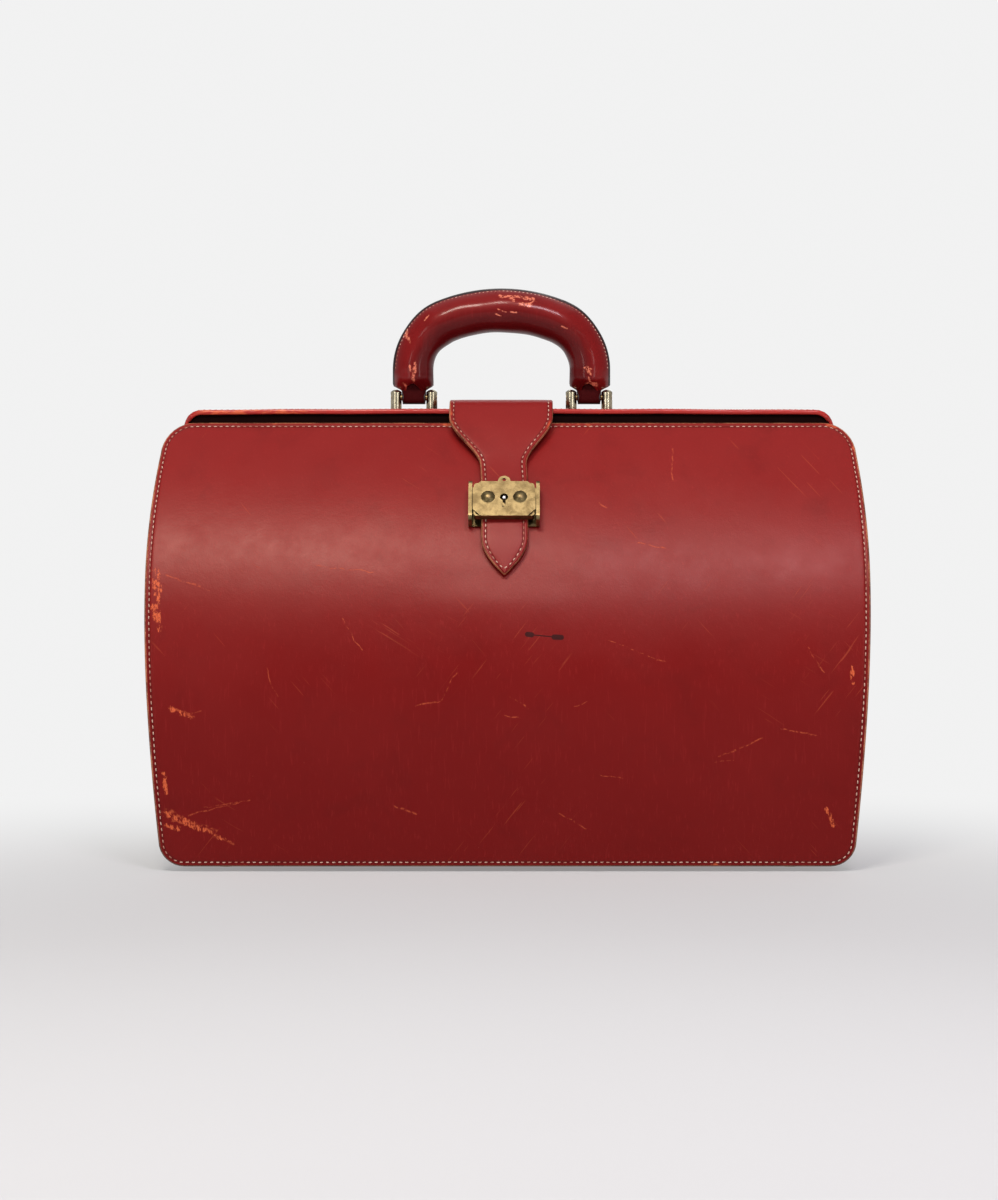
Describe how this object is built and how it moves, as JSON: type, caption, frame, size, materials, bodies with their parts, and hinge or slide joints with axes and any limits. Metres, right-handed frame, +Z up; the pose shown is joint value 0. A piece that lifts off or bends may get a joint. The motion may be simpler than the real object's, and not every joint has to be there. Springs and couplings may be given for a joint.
{
  "type": "doctor bag",
  "caption": "Leather doctor bag with a hinged steel mouth frame, a pointed closing strap with a brass lock, and a padded swinging handle.",
  "frame": {"origin": "centre of the bag's box on the surface that the feet stand on", "axes": "+X to the right seen from the front, +Y to the rear, +Z up; the lock faces -Y"},
  "size_m": [0.4548, 0.205, 0.3672],
  "materials": {
    "red_leather": "satin",
    "frame_leather": "gloss",
    "handle_leather": "gloss",
    "lining_cloth": "matte",
    "base_board": "matte",
    "lock_brass": "brushed",
    "fitting_brass": "polished",
    "steel": "satin"
  },
  "bodies": {
    "bag_body": {"front_panel": "red_leather", "rear_panel": "red_leather", "left_gusset": "red_leather", "right_gusset": "red_leather", "bottom_panel": "red_leather", "base_board": "base_board", "lining": "lining_cloth", "feet": "fitting_brass", "foot_washers": "fitting_brass"},
    "front_jaw": {"front_panel_upper": "red_leather", "front_frame": "steel", "front_rim": "frame_leather", "left_gusset_front": "red_leather", "right_gusset_front": "red_leather", "lock_base": "lock_brass", "lock_base_rivets": "lock_brass", "lock_base_backing": "steel", "hinge_pins": "fitting_brass"},
    "rear_jaw": {"rear_panel_upper": "red_leather", "rear_frame": "steel", "rear_rim": "frame_leather", "left_gusset_rear": "red_leather", "right_gusset_rear": "red_leather", "handle_brackets": "fitting_brass", "bracket_rivets": "steel", "handle_pins": "fitting_brass", "strap_tail": "red_leather", "strap_tail_rivets": "fitting_brass"},
    "closing_strap": {"strap": "red_leather", "lock_case": "lock_brass", "lock_plate": "lock_brass", "lock_rivets": "lock_brass", "strap_backing": "steel", "keyhole_pin": "steel"},
    "bolt": {"lock_bolt": "steel"},
    "handle": {"handle_grip": "handle_leather", "handle_core": "steel", "handle_eyes": "steel", "handle_seam": "handle_leather"}
  },
  "joints": [
    {"name": "front_jaw_open", "type": "hinge", "parent": "bag_body", "child": "front_jaw", "pos_m": [0, -0.08085, 0.195], "axis": [1, 0, 0], "range_deg": [0, 40.5], "deforming": ["left_gusset_front", "right_gusset_front"]},
    {"name": "rear_jaw_open", "type": "hinge", "parent": "bag_body", "child": "rear_jaw", "pos_m": [0, 0.08085, 0.195], "axis": [1, 0, 0], "range_deg": [-40.5, 0], "deforming": ["left_gusset_rear", "right_gusset_rear"]},
    {"name": "strap_lift", "type": "hinge", "parent": "rear_jaw", "child": "closing_strap", "pos_m": [0, -0.003, 0.2912], "axis": [1, 0, 0], "range_deg": [-106, 0], "deforming": ["strap"]},
    {"name": "handle_swing", "type": "hinge", "parent": "rear_jaw", "child": "handle", "pos_m": [-0.005, 0.009, 0.2965], "axis": [-1, 0, 0], "range_deg": [-65, 65]},
    {"name": "bolt_slide", "type": "slide", "parent": "closing_strap", "child": "bolt", "axis": [1, 0, 0], "range_m": [0, 0.003]}
  ],
  "couplings": [
    {"joint": "rear_jaw_open", "follows": "front_jaw_open", "ratio": -1},
    {"joint": "strap_lift", "follows": "front_jaw_open", "ratio": -2.6}
  ]
}
